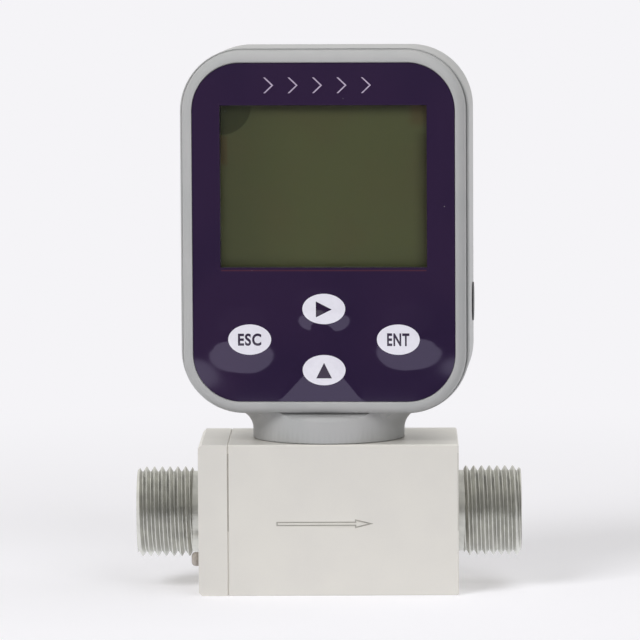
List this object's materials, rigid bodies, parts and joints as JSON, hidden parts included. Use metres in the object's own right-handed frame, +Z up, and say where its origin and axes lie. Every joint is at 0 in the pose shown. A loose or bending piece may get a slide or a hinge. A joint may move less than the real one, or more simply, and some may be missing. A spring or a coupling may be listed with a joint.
{
  "type": "thermal gas mass flow meter",
  "caption": "In-line gas mass flow meter: aluminium flow block with threaded pipe ends and a battery-powered display head on a round neck.",
  "frame": {"origin": "centre of the flow block's bottom face", "axes": "+X along the flow, from the inlet to the outlet; -Y the front with the display; +Z up, square to the bottom face"},
  "size_m": [0.0894, 0.038, 0.1259],
  "materials": {
    "anodised_aluminium": "matt silver anodised",
    "fitting_steel": "turned stainless steel",
    "screw_steel": "satin steel",
    "seal_screw_steel": "dull browned steel",
    "seal_rubber": "black rubber",
    "screen_steel": "etched stainless steel",
    "conditioner_plastic": "natural moulded plastic",
    "sensor_plastic": "dark moulded plastic",
    "sensor_silicon": "polished silicon",
    "board_green": "lacquered circuit board",
    "flex_amber": "amber polyimide film",
    "housing_grey": "fine matt grey moulding",
    "overlay_film": "glossy dark purple film",
    "window_clear": "clear pane",
    "display_glass": "olive-grey liquid crystal display",
    "diffuser_white": "white diffuser",
    "contact_metal": "nickel-plated spring steel",
    "chip_black": "black moulded package",
    "cell_sleeve": "blue shrink sleeve",
    "socket_black": "black moulded plastic",
    "nut_brass": "turned brass",
    "cap_rubber": "soft black rubber"
  },
  "bodies": {
    "root": {"flow_body": "anodised_aluminium", "end_plate": "anodised_aluminium", "end_plate_seal": "seal_rubber", "end_plate_screws": "screw_steel", "seal_screw": "seal_screw_steel", "inlet_fitting": "fitting_steel", "outlet_fitting": "fitting_steel", "outlet_seal": "seal_rubber", "flow_screens": "screen_steel", "screen_spacers": "conditioner_plastic", "flow_straightener": "conditioner_plastic", "sensor_carrier": "sensor_plastic", "sensor_chip": "sensor_silicon", "sensor_seal": "seal_rubber", "sensor_board": "board_green", "sensor_flex": "flex_amber", "neck_seal": "seal_rubber", "neck_screws": "screw_steel", "rear_housing": "housing_grey", "housing_gasket": "seal_rubber", "housing_screws": "screw_steel", "front_bezel": "housing_grey", "keypad_overlay": "overlay_film", "display_window": "window_clear", "lcd_glass": "display_glass", "lcd_backlight": "diffuser_white", "lcd_pins": "contact_metal", "main_board": "board_green", "board_parts": "chip_black", "key_switches": "chip_black", "battery_cell": "cell_sleeve", "battery_contacts": "contact_metal", "battery_cover": "housing_grey", "battery_cover_gasket": "seal_rubber", "battery_cover_screws": "screw_steel", "io_socket": "socket_black", "socket_pins": "contact_metal", "socket_nut": "nut_brass", "port_cap": "cap_rubber", "socket_lead": "cap_rubber"}
  },
  "joints": []
}
